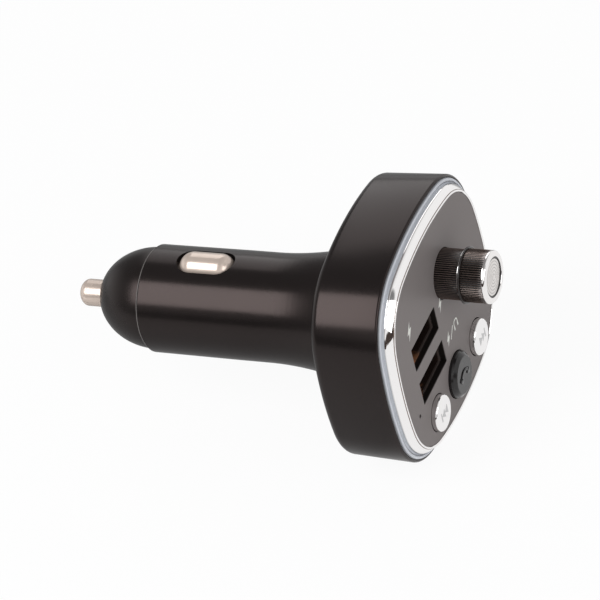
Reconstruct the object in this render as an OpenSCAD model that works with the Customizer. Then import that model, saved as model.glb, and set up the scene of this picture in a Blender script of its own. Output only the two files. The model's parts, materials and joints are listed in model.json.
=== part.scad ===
/* [Face] */
// Width of the glossy face panel at its middle
panel_w = 44.6; // [43.4:0.1:46]
// Height of the glossy face panel at its middle
panel_h = 40.6; // [39.8:0.1:42]
// Radius of the bowed sides of the face outline
side_r = 60; // [50:1:80]
// Radius of the corners of the face outline
corner_r = 12; // [10.5:0.1:14]
// Thickness of the face panel
panel_t = 1.2; // [1:0.1:1.5]
// Width of the chrome bezel outside the panel
bezel_w = 1.45; // [1.2:0.05:1.6]
// Width of the light ring outside the bezel
ring_w = 1.1; // [1:0.05:1.4]

/* [Head] */
// Depth of the head from the face to its back
head_depth = 16; // [15.8:0.1:18]
// Thickness of the moulded back wall
back_wall = 1.8; // [1.4:0.1:2.2]
// How far the shell stands outside the light ring
rim_w = 0.55; // [0.4:0.05:0.8]
// Moulding draft of the shell side, from the rim to the back
side_draft = 0.5; // [0.2:0.05:0.6]
// Radius of the rounded back edge
back_round = 1.7; // [1.2:0.1:2.2]
// Distance from the face to the straight stretch of the barrel
head_reach = 35; // [33:0.5:39]
// How far the middle of the head stands above the plug axis
head_raise = 0.65; // [0:0.05:1]

/* [Plug barrel] */
// Diameter of the straight barrel that fits a 12 V socket
barrel_d = 21.1; // [20.7:0.05:21.3]
// Length of the straight stretch that guides the plug, up to the contact slots
straight_len = 5.75; // [4:0.25:5.75]
// Length from the start of the straight stretch to the parting line of the nose
barrel_len = 24.3; // [23:0.1:27]
// Moulding draft of the slotted stretch, on the radius
barrel_draft = 0.1; // [0.05:0.01:0.15]
// Wall thickness of the barrel
barrel_wall = 1.45; // [1.2:0.05:1.6]
// Radius of the long flare from the straight stretch to the head
flare_r = 62; // [58:1:80]

/* [Nose and tip] */
// Length of the nose cap outside the barrel
nose_len = 10.9; // [10:0.1:11.4]
// Radius of the nose cap at the parting line
nose_r = 10.1; // [9.9:0.05:10.2]
// Diameter of the centre contact pin
tip_d = 5.3; // [5:0.1:6]
// How far the pin stands out of the nose
tip_out = 5.7; // [5:0.1:6]
// Height of the rounded end of the pin
tip_dome = 1.8; // [1.2:0.1:2.4]
// Travel of the centre contact
tip_travel = 3; // [2:0.1:3.5]

/* [Side contacts] */
// Length of each side contact along the barrel
contact_len = 11.3; // [10:0.1:12]
// Width of each side contact
contact_w = 5.9; // [5.4:0.1:6.4]
// How far each side contact stands out of the barrel
contact_out = 1.1; // [0.8:0.1:1.3]
// Distance of the contact centre from the parting line
contact_back = 12.4; // [11.8:0.1:12.6]

/* [USB ports] */
// Width of the inside of a socket shell
port_w = 12.3; // [12.2:0.05:12.6]
// Height of the inside of a socket shell
port_h = 4.86; // [4.8:0.02:5.2]
// Thickness of the socket shell
port_wall = 0.3; // [0.25:0.05:0.4]
// Sideways place of both sockets
port_x = -9.2; // [-9.4:0.1:-9]
// Height of the upper socket above the head axis
upper_port_z = 2.85; // [2.75:0.05:3.1]
// Distance between the two sockets
port_pitch = 8.1; // [7.9:0.05:8.3]

/* [Knob] */
// Sideways place of the knob
knob_x = 4; // [3.8:0.05:4.4]
// Distance of the knob axis below the top edge of the panel
knob_drop = 12.5; // [12.3:0.1:12.8]
// Diameter over the ribs of the black sleeve
sleeve_d = 9.65; // [9.4:0.05:10.2]
// Diameter over the ribs of the chrome cap
knob_d = 10.05; // [9.8:0.05:10.5]
// Diameter of the collar between sleeve and cap
collar_d = 10.8; // [10.6:0.1:11.2]
// Height of the black sleeve above the face
sleeve_top = 4.8; // [4.4:0.05:5]
// Thickness of the collar
collar_t = 0.3; // [0.25:0.05:0.8]
// Height of the whole knob above the face
knob_top = 10.15; // [9.4:0.05:11]
// Number of ribs round the knob
rib_count = 72; // [48:1:80]
// Depth of the ribs
rib_depth = 0.2; // [0.1:0.05:0.3]

/* [Buttons] */
// Height of the button row above the bottom edge of the panel
row_rise = 6.6; // [6.4:0.1:6.8]
// Distance of each round chrome button from the middle
side_button_x = 11; // [10.7:0.05:11.2]
// Diameter of the round chrome buttons
side_button_d = 7.1; // [6.6:0.1:7.4]
// Height of the chrome buttons above the face
side_button_top = 1.3; // [1:0.05:1.8]
// Diameter of the black middle button
centre_button_d = 9.1; // [8.6:0.1:9.4]
// Height of the black middle button above the face
centre_button_top = 1.45; // [1.2:0.05:2]
// Travel of every button and of the knob when it is pressed
press_travel = 0.5; // [0.3:0.05:0.6]

/* [Hidden] */
$fn = 96;

// Clearance between fixed pieces that fit together
fit_gap = 0.05;
// Clearance round a piece that slides or turns in a hole
slide_gap = 0.15;
// Running clearance of a pin or shaft, on the radius
run_gap = 0.08;
// Overshoot of a cut past the surface it opens
past = 1;
// Sink of one form of a piece into the next, so that they are one solid
join = 0.1;
// Steps of one bowed side and of one corner in the face outline, and of the flare
side_steps = 6;
corner_steps = 12;
flare_steps = 16;

// Depths behind the face, where 0 is the front of the panel
flange_back = panel_t + 1;
ledge_depth = flange_back + 1.2;
frame_back = ledge_depth;
board_front = head_depth - 4.8;
board_t = 1.2;
board_back = board_front + board_t;
cavity_back = head_depth - back_wall;

// Places out from the panel edge, as an even border
bezel_out = bezel_w + fit_gap;
ring_in = bezel_out + fit_gap;
ring_out = ring_in + ring_w;
shell_pocket = ring_out + fit_gap;
shell_out = shell_pocket + rim_w;
cavity_out = ring_in + 0.25;
bezel_seat = 0.9;

// Sizes of the barrel and of what it holds
barrel_r = barrel_d / 2;
bore_r = barrel_r - barrel_wall;
foot_r = flare(0, at(head_depth));
flange_r = foot_r + 2.3;
flange_t = 1;
ear_place = flange_r + 1.4;
ear_r = 2.6;
ear_angles = [90, 200, 340];
ear_screw_r = 0.85;
ear_pilot = 1.4;
nose_skirt = 3.8;
nose_tip = barrel_len + nose_len;
nose_power = 1.75;
nose_full_len = nose_len + 1.2;
tip_r = tip_d / 2;
tip_bore_r = tip_r + 1.65;
shoulder_y = nose_tip - 1.6;
tip_flange_t = 1.4;
tip_flange_y = shoulder_y - slide_gap - tip_flange_t;
terminal_y = barrel_len - 1.2;
terminal_t = 0.8;
spring_wire_r = 0.35;
spring_r = tip_bore_r - 0.85 - spring_wire_r;
// Coils that still clear one another when the tip is pushed right in
spring_turns = floor((tip_flange_y - terminal_y - tip_travel) / (2 * spring_wire_r)) - 1;

// The long board in the barrel
power_w = 2 * (bore_r - 0.8);
power_t = 1.2;
power_start = board_back + 0.4 - head_reach;
power_end = terminal_y - terminal_t - fit_gap;
power_tongue_w = 10;
power_tongue = barrel_len - nose_skirt - 1;
rail_reach = 0.6;
rail_start = -3;
rail_len = 8;
rail_t = 1;
inductor_y = -9;
capacitor_y = -1;

// The side contacts
contact_y = barrel_len - contact_back;
slot_gap = 0.3;
contact_flange_out = bore_r - slide_gap;
contact_flange_t = 0.75;
contact_top = barrel_r + contact_out;

// Places that follow the edges of the panel
knob_z = panel_h / 2 - knob_drop;
row_z = row_rise - panel_h / 2;
post_x = panel_w / 2 - 5.3;
post_z = panel_h / 2 - 8.7;
display_z = panel_h / 2 - 6.3;
mic_x = 4.1 - panel_w / 2;
mic_z = row_z + 5.4;
chip_x = panel_w / 2 - 6.8;
chip_z = -4;
chip_h = 0.9;

// Switches and encoder
switch_side = 6.2;
switch_h = 3.5;
stem_r = 1.6;
stem_sink = 0.9;
cap_flange_t = 0.7;
cap_lap = 0.55;
cap_back = frame_back + 2 * fit_gap + cap_flange_t;
encoder_w = 11.7;
encoder_l = 12;
encoder_h = 6.5;
shaft_r = 3;
shaft_flat = 1.5;
bushing_r = 3.5;
bushing_out = 0.8;
encoder_floor = 0.4;
key_gap = 0.02;
knob_seat = 0.9;
key_top = 1.8 - knob_top;
shaft_end = board_front - 2;
lower_port_z = upper_port_z - port_pitch;
port_open_w = port_w + 0.4;
port_open_h = port_h + 0.36;
tongue_front = 5.5;
tongue_root = board_front - 2;
tongue_w = 11.1;
tongue_t = 1.85;
tongue_rise = 0.75;
contact_strip_w = 1;
contact_strip_t = 0.25;
contact_strips = [-3.5, -1, 1, 3.5];
post_r = 1.8;
pilot_r = 0.65;
pilot_depth = 6;
display_x = -7.7;
display_w = 11;
display_h = 6;
display_t = 4;
led_w = 1.4;
led_h = 0.8;
leg_w = 3;
mic_hole_r = 0.4;
mic_r = 1.5;
mic_h = 1.2;
leg_gap = 1.1;
leg_slot = 0.2;

// y of a depth behind the face
function at(depth) = depth - head_reach;

// Corner circle of the outline, tangent to both bowed sides
side_c = panel_w / 2 - side_r;
top_c = panel_h / 2 - side_r;
span_c = norm([side_c, top_c]);
rise_c = sqrt(pow(side_r - corner_r, 2) - pow(span_c / 2, 2));
corner_x = side_c / 2 - rise_c * top_c / span_c;
corner_z = top_c / 2 - rise_c * side_c / span_c;
side_a = atan2(corner_z, corner_x - side_c);
top_a = atan2(corner_z - top_c, corner_x);

function arc(x, z, r, start, end, steps) =
    [for (k = [0:steps - 1]) let (a = start + (end - start) * k / steps) [x + r * cos(a), z + r * sin(a)]];

// Face outline moved outwards by an even border
function outline(out) = concat(
    arc(side_c, 0, side_r + out, -side_a, side_a, side_steps),
    arc(corner_x, corner_z, corner_r + out, side_a, top_a, corner_steps),
    arc(0, top_c, side_r + out, top_a, 180 - top_a, side_steps),
    arc(-corner_x, corner_z, corner_r + out, 180 - top_a, 180 - side_a, corner_steps),
    arc(-side_c, 0, side_r + out, 180 - side_a, 180 + side_a, side_steps),
    arc(-corner_x, -corner_z, corner_r + out, 180 + side_a, 180 + top_a, corner_steps),
    arc(0, -top_c, side_r + out, 180 + top_a, 360 - top_a, side_steps),
    arc(corner_x, -corner_z, corner_r + out, 360 - top_a, 360 - side_a, corner_steps)
);

function rings(sections) =
    [for (s = sections) for (p = outline(s[0])) [p[0], at(s[1]), p[1] + head_raise]];

function wall_faces(count, from, to) =
    [for (j = [0:count - 1]) let (k = (j + 1) % count)
        for (f = [[from + j, from + k, to + k], [from + j, to + k, to + j]]) f];

// Solid through outlines, each given as [border, depth], front to back
module loft(sections) {
    n = len(outline(0));
    last = (len(sections) - 1) * n;
    sides = [for (i = [0:len(sections) - 2]) for (f = wall_faces(n, i * n, (i + 1) * n)) f];
    front = [for (j = [n - 1:-1:0]) j];
    back = [for (j = [0:n - 1]) last + j];
    polyhedron(points = rings(sections), faces = concat(sides, [front, back]), convexity = 4);
}

// Closed frame whose section is swept round the outline
module sweep(sections) {
    n = len(outline(0));
    m = len(sections);
    faces = [for (i = [0:m - 1]) for (f = wall_faces(n, i * n, ((i + 1) % m) * n)) f];
    polyhedron(points = rings(sections), faces = faces, convexity = 6);
}

// Flat shape in face coordinates, from one depth to another
module slab(front, back) {
    translate([0, at(back), head_raise])
        rotate([90, 0, 0])
            linear_extrude(back - front) children();
}

// Plate with the face outline and an even border
module plate(out, front, back) {
    slab(front, back) polygon(outline(out));
}

// Round bar along Y between two depths behind the face, at a place on the face
module bar(r, front, back, x = 0, z = 0) {
    translate([x, at(back), z + head_raise])
        rotate([90, 0, 0]) cylinder(r = r, h = back - front);
}

// The same on the plug axis
module plug_bar(r, front, back) {
    bar(r, front, back, 0, -head_raise);
}

// Block between two depths behind the face, at a place on the face
module block(w, h, front, back, x = 0, z = 0) {
    translate([x - w / 2, at(front), z - h / 2 + head_raise]) cube([w, back - front, h]);
}

// Body turned round the plug axis from [radius, y] points
module turned(profile) {
    rotate([-90, 0, 0]) rotate_extrude() polygon(profile);
}

// Body turned round an axis through x and z of the face, from [radius, depth] points
module turned_at(x, z, profile) {
    translate([x, -head_reach, z + head_raise])
        rotate([-90, 0, 0]) rotate_extrude() polygon(profile);
}

// Places round the head at the middle of each side, drawn for the right-hand side
module on_sides() {
    for (side = [-1, 1]) {
        translate([side * panel_w / 2, 0, head_raise])
            rotate([0, side > 0 ? 0 : 180, 0]) children();
        translate([0, 0, side * panel_h / 2 + head_raise])
            rotate([0, side > 0 ? -90 : 90, 0]) children();
    }
}

module at_posts() {
    for (x = [-post_x, post_x]) for (z = [-post_z, post_z]) translate([x, 0, z]) children();
}

module at_ears() {
    for (a = ear_angles) translate([ear_place * cos(a), 0, ear_place * sin(a)]) children();
}

module head_shell() {
    lip = 0.12;
    lip_len = 0.45;
    back_out = shell_out - side_draft;
    pad_w = 8;
    pad_h = 2.5;
    pad_front = board_back;
    outer = concat(
        [[shell_pocket + lip, flange_back - lip / 2],
         [shell_out - lip, flange_back + lip],
         [shell_out, flange_back + lip_len]],
        [for (k = [0:5]) let (a = k * 18)
            [back_out - back_round * (1 - cos(a)), head_depth - back_round * (1 - sin(a))]]
    );
    color([0.12, 0.12, 0.12])
    difference() {
        union() {
            difference() {
                loft(outer);
                plate(shell_pocket, 0, ledge_depth);
                plate(cavity_out, ledge_depth - past, cavity_back);
            }
            on_sides()
                translate([cavity_out - pad_h + join, at(pad_front), -pad_w / 2])
                    cube([pad_h, cavity_back - pad_front + join, pad_w]);
        }
        plug_bar(foot_r + fit_gap, cavity_back - past, head_depth + past);
        at_ears() plug_bar(ear_screw_r, cavity_back - past, cavity_back + ear_pilot);
    }
}

// Radius of the flared stretch at a place along the plug, inwards by a wall
function flare(wall, y) =
    barrel_r + flare_r - sqrt(pow(flare_r + wall, 2) - pow(y, 2));

// Points of the flare between two places along the plug
function flare_line(wall, start, end) =
    [for (k = [0:flare_steps]) let (y = start + (end - start) * k / flare_steps) [flare(wall, y), y]];

module plug_barrel() {
    edge = 0.35;
    mouth = at(cavity_back - flange_t);
    outside = concat(
        [[flange_r, mouth], [flange_r, at(cavity_back)], [foot_r, at(cavity_back)]],
        flare_line(0, at(head_depth), 0),
        [[barrel_r, straight_len],
         [barrel_r - barrel_draft, barrel_len - edge], [barrel_r - barrel_draft - edge, barrel_len]]
    );
    inside = concat([[bore_r, barrel_len]], flare_line(barrel_wall, 0, mouth));
    color([0.13, 0.13, 0.13])
    difference() {
        union() {
            turned(concat(outside, inside));
            at_ears()
                plug_bar(ear_r, cavity_back - flange_t, cavity_back);
            for (turn = [0, 180])
                rotate([0, turn, 0])
                    for (face = [0, 1])
                        mirror([0, 0, face])
                            translate([power_w / 2 - rail_reach, rail_start, power_t / 2 + fit_gap])
                                cube([bore_r + 3 * join - power_w / 2 + rail_reach, rail_len, rail_t]);
        }
        at_ears() plug_bar(ear_screw_r + fit_gap, cavity_back - flange_t - past, cavity_back + past);
        translate([0, contact_y, 0])
            linear_extrude(2 * barrel_d, center = true)
                stadium(contact_len + 2 * slot_gap, contact_w + 2 * slot_gap);
    }
}

// Rounded slot shape, long way along Y
module stadium(length, width) {
    reach = (length - width) / 2;
    square([width, 2 * reach], center = true);
    for (side = [-1, 1]) translate([0, side * reach]) circle(d = width);
}

module nose_cap() {
    mouth_r = tip_r + run_gap;
    skirt_in = bore_r - 1.5;
    relief = 0.6;
    steps = 16;
    cap = [for (k = [0:steps]) let (s = nose_len * k / steps)
        [nose_r * pow(1 - pow(s / nose_full_len, nose_power), 1 / nose_power), barrel_len + s]];
    outside = concat([[bore_r - fit_gap, barrel_len - nose_skirt], [bore_r - fit_gap, barrel_len]], cap);
    inside = [[mouth_r, nose_tip], [mouth_r, shoulder_y], [tip_bore_r, shoulder_y],
        [tip_bore_r, barrel_len], [skirt_in, barrel_len - relief], [skirt_in, barrel_len - nose_skirt]];
    color([0.1, 0.1, 0.1]) turned(concat(outside, inside));
}

module tip_contact() {
    boss_r = spring_r - spring_wire_r - slide_gap;
    boss_len = 1.6;
    dome = [for (k = [0:10]) let (a = 9 * k)
        [tip_r * cos(a), nose_tip + tip_out - tip_dome * (1 - sin(a))]];
    color([0.82, 0.81, 0.78])
    turned(concat(
        [[0, tip_flange_y - boss_len], [boss_r, tip_flange_y - boss_len], [boss_r, tip_flange_y],
         [tip_bore_r - run_gap, tip_flange_y], [tip_bore_r - run_gap, tip_flange_y + tip_flange_t],
         [tip_r, tip_flange_y + tip_flange_t]],
        dome));
}

// Compression spring as one unbroken helical wire
module tip_spring() {
    sides = 6;
    per_turn = 16;
    count = spring_turns * per_turn;
    rest = 0.02;
    start = terminal_y + spring_wire_r + rest;
    rise = tip_flange_y - spring_wire_r - rest - start;
    points = [for (i = [0:count]) let (a = 360 * i / per_turn, y = start + rise * i / count)
        for (j = [0:sides - 1]) let (b = 360 * j / sides, r = spring_r + spring_wire_r * cos(b))
            [r * cos(a), y + spring_wire_r * sin(b), r * sin(a)]];
    tube = [for (i = [0:count - 1]) for (j = [0:sides - 1])
        let (k = (j + 1) % sides, p = i * sides, q = (i + 1) * sides)
            for (f = [[p + j, q + j, q + k], [p + j, q + k, p + k]]) f];
    first = [for (j = [0:sides - 1]) j];
    last = [for (j = [sides - 1:-1:0]) count * sides + j];
    color([0.7, 0.7, 0.7]) polyhedron(points = points, faces = concat(tube, [first, last]), convexity = 10);
}

module tip_terminal() {
    seat_r = spring_r - spring_wire_r - slide_gap;
    seat_h = 0.8;
    fork_len = 2;
    fork_w = 5;
    fork_wall = 0.5;
    base = terminal_y - terminal_t;
    color([0.8, 0.65, 0.3])
    difference() {
        union() {
            turned([[0, base], [tip_bore_r, base], [tip_bore_r, terminal_y], [seat_r, terminal_y],
                [seat_r, terminal_y + seat_h], [0, terminal_y + seat_h]]);
            translate([-fork_w / 2, base - fork_len, -power_t / 2 - fork_wall])
                cube([fork_w, fork_len + terminal_t / 2, power_t + 2 * fork_wall]);
        }
        translate([-fork_w, base - fork_len - past, -power_t / 2])
            cube([2 * fork_w, fork_len + past, power_t]);
    }
}

module side_contact() {
    flange_lap = 1;
    crown_r = contact_w / 2;
    reach = contact_len / 2 - crown_r;
    crown_z = contact_top - crown_r;
    color([0.78, 0.77, 0.74])
    translate([0, contact_y, 0]) {
        intersection() {
            union() {
                translate([0, 0, crown_z])
                    rotate([90, 0, 0]) cylinder(r = crown_r, h = 2 * reach, center = true);
                for (side = [-1, 1])
                    translate([0, side * reach, crown_z]) sphere(r = crown_r);
            }
            translate([-contact_w, -contact_len, crown_z - join])
                cube([2 * contact_w, 2 * contact_len, contact_w]);
        }
        intersection() {
            rotate([90, 0, 0]) difference() {
                cylinder(r = contact_flange_out, h = contact_len + 3 * flange_lap, center = true);
                cylinder(r = contact_flange_out - contact_flange_t,
                         h = contact_len + 5 * flange_lap, center = true);
            }
            translate([-contact_w / 2 - flange_lap, -contact_len / 2 - flange_lap, 0])
                cube([contact_w + 2 * flange_lap, contact_len + 2 * flange_lap, barrel_d]);
        }
    }
}

module side_contact_top() {
    side_contact();
}

module side_contact_bottom() {
    rotate([0, 180, 0]) side_contact();
}

// Bowed strip that stands on the long board and pushes a side contact out
module leaf_spring() {
    strip_t = 0.3;
    strip_w = 4;
    crest = sqrt(pow(contact_flange_out - contact_flange_t, 2) - pow(strip_w / 2, 2)) - fit_gap;
    foot = power_t / 2;
    foot_len = 2;
    bow_r = (crest - foot) * 0.86;
    reach = sqrt(pow(bow_r, 2) - pow(crest - bow_r - foot, 2)) - fit_gap;
    color([0.75, 0.62, 0.35])
    translate([-strip_w / 2, contact_y, 0])
        rotate([90, 0, 90])
            linear_extrude(strip_w)
                union() {
                    difference() {
                        translate([0, crest - bow_r]) circle(r = bow_r);
                        translate([0, crest - bow_r]) circle(r = bow_r - strip_t);
                        translate([-bow_r - past, foot - bore_r]) square([2 * (bow_r + past), bore_r]);
                    }
                    for (side = [-1, 1])
                        translate([side > 0 ? reach - foot_len : -reach, foot]) square([foot_len, strip_t]);
                }
}

module leaf_spring_top() {
    leaf_spring();
}

module leaf_spring_bottom() {
    rotate([0, 180, 0]) leaf_spring();
}

module light_ring() {
    groove = ring_in + ring_w * 0.38;
    groove_depth = bezel_w + 0.8;
    crest = groove + 0.45;
    crest_depth = bezel_w + 0.6;
    leg_in = ring_in - 0.7;
    color([0.62, 0.65, 0.7]) {
        sweep([
            [ring_in, bezel_w - fit_gap],
            [groove, groove_depth],
            [groove + fit_gap, crest_depth - join],
            [crest, crest_depth],
            [ring_out, flange_back - join],
            [ring_out, ledge_depth],
            [ring_in, ledge_depth]
        ]);
        on_sides()
            translate([leg_in, at(flange_back + join), -leg_w / 2])
                cube([ring_in + 2 * join - leg_in, board_front - flange_back - leg_gap, leg_w]);
    }
}

module chrome_bezel() {
    lip_w = 0.4;
    lip_h = 0.22;
    color([0.85, 0.85, 0.87])
    sweep([
        [fit_gap, -lip_h / 4],
        [fit_gap + lip_w / 2, -lip_h],
        [fit_gap + lip_w, -lip_h / 2],
        [bezel_out, bezel_w - lip_h],
        [bezel_out, flange_back],
        [-bezel_seat, flange_back],
        [-bezel_seat, panel_t],
        [fit_gap, panel_t]
    ]);
}

module port_cuts(extra, front, back) {
    for (z = [upper_port_z, lower_port_z])
        block(port_open_w + extra, port_open_h + extra, front, back, port_x, z);
}

module button_holes(front, back) {
    for (x = [-side_button_x, side_button_x])
        bar(side_button_d / 2 + slide_gap, front, back, x, row_z);
    bar(centre_button_d / 2 + slide_gap, front, back, 0, row_z);
}

module face_panel() {
    color([0.2, 0.19, 0.19])
    difference() {
        plate(0, 0, panel_t);
        port_cuts(0, -past, panel_t + past);
        button_holes(-past, panel_t + past);
        bar(sleeve_d / 2 + slide_gap, -past, panel_t + past, knob_x, knob_z);
        bar(mic_hole_r, -past, panel_t + past, mic_x, mic_z);
    }
}

module front_frame() {
    skirt_wall = 1.05;
    skirt_out = cavity_out - 2 * fit_gap;
    window_gap = 0.1;
    leg_cut = 3;
    color([0.16, 0.16, 0.17])
    difference() {
        union() {
            plate(-bezel_seat - fit_gap, panel_t, flange_back + join);
            plate(ring_in - 2 * fit_gap, flange_back, frame_back);
            difference() {
                plate(skirt_out, frame_back, board_front);
                plate(skirt_out - skirt_wall, frame_back - past, board_front + past);
            }
            at_posts() bar(post_r, frame_back - join, board_front);
        }
        port_cuts(2 * port_wall, panel_t - past, frame_back + past);
        button_holes(panel_t - past, frame_back + past);
        bar(sleeve_d / 2 + slide_gap, panel_t - past, flange_back, knob_x, knob_z);
        bar(bushing_r + slide_gap, panel_t - past, frame_back + past, knob_x, knob_z);
        block(display_w + 2 * window_gap, display_h + 2 * window_gap, panel_t - past,
              frame_back + past, display_x, display_z);
        bar(1.5 * mic_hole_r, panel_t - past, frame_back + past, mic_x, mic_z);
        at_posts() bar(pilot_r + fit_gap, board_front - pilot_depth, board_front + past);
        on_sides()
            translate([-leg_slot, at(flange_back), -leg_w / 2 - leg_slot])
                cube([leg_cut, board_front - flange_back + past, leg_w + 2 * leg_slot]);
    }
}

module usb_shell(z) {
    color([0.72, 0.72, 0.72])
    difference() {
        block(port_w + 2 * port_wall, port_h + 2 * port_wall, panel_t + fit_gap, board_front, port_x, z);
        block(port_w, port_h, 0, board_front + past, port_x, z);
    }
}

module usb_shell_upper() {
    usb_shell(upper_port_z);
}

module usb_shell_lower() {
    usb_shell(lower_port_z);
}

module usb_tongue(z) {
    color([0.08, 0.08, 0.08]) {
        block(port_w - 2 * fit_gap, port_h - 2 * fit_gap, tongue_root, board_front, port_x, z);
        block(tongue_w, tongue_t, tongue_front, tongue_root, port_x, z + tongue_rise);
    }
}

module usb_tongue_upper() {
    usb_tongue(upper_port_z);
}

module usb_tongue_lower() {
    usb_tongue(lower_port_z);
}

module usb_contacts(z) {
    below = z + tongue_rise - tongue_t / 2 - contact_strip_t / 2;
    color([0.85, 0.68, 0.3])
    for (x = contact_strips)
        block(contact_strip_w, contact_strip_t, tongue_front + 4 * join, tongue_root, port_x + x, below);
}

module usb_contacts_upper() {
    usb_contacts(upper_port_z);
}

module usb_contacts_lower() {
    usb_contacts(lower_port_z);
}

module main_board() {
    color([0.1, 0.35, 0.2])
    difference() {
        plate(ring_in - 3 * join, board_front, board_back);
        at_posts() bar(1.5 * pilot_r, board_front - past, board_back + past);
    }
}

module encoder_body() {
    bore = shaft_r + run_gap;
    color([0.55, 0.56, 0.56])
    difference() {
        union() {
            block(encoder_w, encoder_l, board_front - encoder_h, board_front, knob_x, knob_z);
            bar(bushing_r, frame_back - bushing_out, board_front - encoder_h + join, knob_x, knob_z);
        }
        bar(bore, frame_back - past, board_front - encoder_floor, knob_x, knob_z);
    }
}

module encoder_plunger() {
    color([0.9, 0.9, 0.88])
    bar(shaft_r - encoder_floor, shaft_end + fit_gap, board_front - encoder_floor - press_travel - join,
        knob_x, knob_z);
}

// Section of the shaft with its flat, with an even border added
module shaft_section(border) {
    intersection() {
        circle(r = shaft_r + border);
        translate([-2 * shaft_r, -2 * shaft_r]) square([4 * shaft_r, 2 * shaft_r + shaft_flat + border]);
    }
}

module encoder_shaft() {
    color([0.75, 0.75, 0.75])
    translate([knob_x, 0, knob_z]) {
        slab(key_top, knob_seat) shaft_section(0);
        bar(shaft_r, knob_seat, shaft_end);
    }
}

// Ribbed ring shape with pointed ribs
module ribbed(diameter) {
    polygon([for (k = [0:2 * rib_count - 1]) let (a = 180 * k / rib_count,
        r = diameter / 2 - (k % 2 == 0 ? 0 : rib_depth)) [r * cos(a), r * sin(a)]]);
}

module knob_sleeve() {
    color([0.07, 0.07, 0.07])
    translate([knob_x, 0, knob_z])
        difference() {
            slab(-sleeve_top, knob_seat) ribbed(sleeve_d);
            slab(-sleeve_top - past, knob_seat + past) shaft_section(key_gap);
        }
}

module knob_collar() {
    front = -sleeve_top - collar_t;
    chamfer = 0.1;
    color([0.05, 0.05, 0.05])
    difference() {
        turned_at(knob_x, knob_z, [
            [0, -sleeve_top], [collar_d / 2, -sleeve_top], [collar_d / 2, front + chamfer],
            [collar_d / 2 - chamfer, front], [0, front]]);
        translate([knob_x, 0, knob_z])
            slab(front - past, past - sleeve_top) shaft_section(key_gap);
    }
}

module knob_cap() {
    front = -sleeve_top - collar_t;
    rim = knob_d / 2;
    bevel = 0.45;
    rim_back = 0.75 - knob_top;
    dish_r = rim - 1.2;
    dish_depth = 0.3;
    color([0.85, 0.84, 0.84])
    difference() {
        union() {
            translate([knob_x, 0, knob_z]) slab(rim_back - join, front) ribbed(knob_d - join);
            turned_at(knob_x, knob_z, [
                [0, rim_back], [rim, rim_back], [rim, bevel - knob_top], [rim - bevel, -knob_top],
                [dish_r + join, -knob_top], [dish_r, dish_depth - knob_top],
                [0, dish_depth / 2 - knob_top]]);
        }
        translate([knob_x, 0, knob_z])
            slab(key_top - key_gap, front + past) shaft_section(key_gap);
    }
}

// Round chrome button: rounded edge, slightly domed face, flange behind the frame
module side_button(x) {
    r = side_button_d / 2;
    round_r = 0.4;
    dome = 0.1;
    top = -side_button_top;
    edge = [for (k = [0:5]) let (a = 18 * k)
        [r - round_r * (1 - cos(a)), top + dome + round_r * (1 - sin(a))]];
    color([0.88, 0.88, 0.9])
    turned_at(x, row_z, concat(
        [[0, cap_back], [r + cap_lap, cap_back], [r + cap_lap, cap_back - cap_flange_t],
         [r, cap_back - cap_flange_t]],
        edge,
        [[r / 2, top + dome / 4], [0, top]]));
}

module button_left() {
    side_button(-side_button_x);
}

module button_right() {
    side_button(side_button_x);
}

module button_centre() {
    r = centre_button_d / 2;
    top = -centre_button_top;
    bevel_w = 0.9;
    bevel_h = 0.95;
    color([0.06, 0.06, 0.07])
    turned_at(0, row_z, [
        [0, cap_back], [r + cap_lap, cap_back], [r + cap_lap, cap_back - cap_flange_t],
        [r, cap_back - cap_flange_t], [r, top + bevel_h], [r - bevel_w * 0.2, top + bevel_h * 0.6],
        [r - bevel_w * 0.8, top + bevel_h * 0.1], [r - bevel_w, top], [0, top]]);
}

module switch_body(x) {
    color([0.1, 0.1, 0.1])
    difference() {
        block(switch_side, switch_side, board_front - switch_h, board_front, x, row_z);
        bar(stem_r + run_gap, board_front - switch_h - past,
            board_front - switch_h + stem_sink + press_travel + join, x, row_z);
    }
}

module switch_body_left() {
    switch_body(-side_button_x);
}

module switch_body_centre() {
    switch_body(0);
}

module switch_body_right() {
    switch_body(side_button_x);
}

module switch_stem(x) {
    color([0.85, 0.85, 0.82])
    bar(stem_r, cap_back, board_front - switch_h + stem_sink, x, row_z);
}

module switch_stem_left() {
    switch_stem(-side_button_x);
}

module switch_stem_centre() {
    switch_stem(0);
}

module switch_stem_right() {
    switch_stem(side_button_x);
}

module display_module() {
    color([0.15, 0.15, 0.16])
    block(display_w, display_h, panel_t + fit_gap, panel_t + fit_gap + display_t, display_x, display_z);
}

module display_holder() {
    wall = 0.8;
    color([0.9, 0.9, 0.88])
    difference() {
        block(display_w, display_h, panel_t + fit_gap + display_t, board_front, display_x, display_z);
        block(display_w - 2 * wall, display_h - 2 * wall, panel_t + fit_gap + display_t - past,
              board_front + past, display_x, display_z);
    }
}

module microphone() {
    color([0.7, 0.7, 0.7])
    bar(mic_r, frame_back, frame_back + mic_h, mic_x, mic_z);
}

module ring_leds() {
    color([0.95, 0.95, 0.8])
    on_sides()
        translate([ring_in - led_w - 3 * join, at(board_front - led_h), -led_w / 2])
            cube([led_w, led_h, led_w]);
}

module wireless_chip() {
    side = 7;
    color([0.08, 0.08, 0.09]) block(side, side, board_front - chip_h, board_front, chip_x - side, chip_z);
}

module tuner_chip() {
    side = 4;
    color([0.08, 0.08, 0.09]) block(side, side, board_front - chip_h, board_front, chip_x, -chip_z);
}

module crystal() {
    can_w = 3.2;
    can_h = 2.5;
    color([0.75, 0.75, 0.75]) block(can_w, can_h, board_front - chip_h, board_front, chip_x, chip_z);
}

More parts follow.
